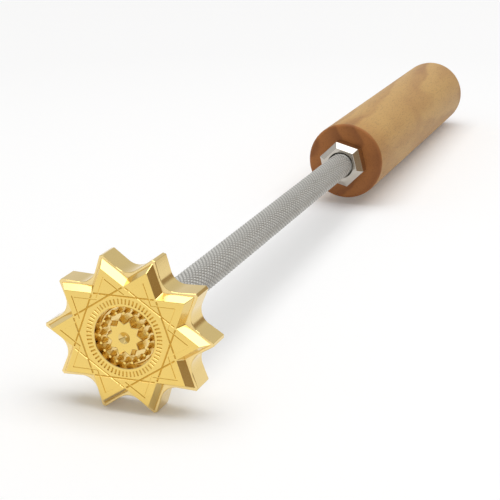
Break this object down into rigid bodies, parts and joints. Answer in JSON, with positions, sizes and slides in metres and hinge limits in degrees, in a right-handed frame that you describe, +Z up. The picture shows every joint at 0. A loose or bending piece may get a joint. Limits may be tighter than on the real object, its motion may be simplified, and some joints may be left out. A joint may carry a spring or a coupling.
{
  "type": "branding iron",
  "caption": "Hand branding iron: a milled brass die with a geometric star relief, screwed to a knurled steel rod with a lock nut and a straight turned wooden handle.",
  "frame": {"origin": "on the table, under the middle of the tool's length, as it lies on two points of the die and the rear edge of the handle", "axes": "+Z up from the table, +Y along the tool from the die to the handle, +X to the right when the stamping face is seen from the front"},
  "size_m": [0.052, 0.4084, 0.0461],
  "materials": {
    "brass": "milled and polished",
    "knurled_steel": "diamond knurled, satin",
    "plated_steel": "bright zinc plated",
    "beech": "turned, sanded and oiled",
    "zinc_insert": "die cast, dull"
  },
  "bodies": {
    "iron": {"stamp_head": "brass", "rod": "knurled_steel", "handle": "beech", "handle_insert": "zinc_insert"},
    "lock_nut": {"lock_nut": "plated_steel"}
  },
  "joints": [
    {"name": "lock_nut_turn", "type": "hinge", "parent": "iron", "child": "lock_nut", "pos_m": [0, 0.02707, 0.01906], "axis": [0, -0.9998, 0.0178], "range_deg": [0, 360]}
  ]
}
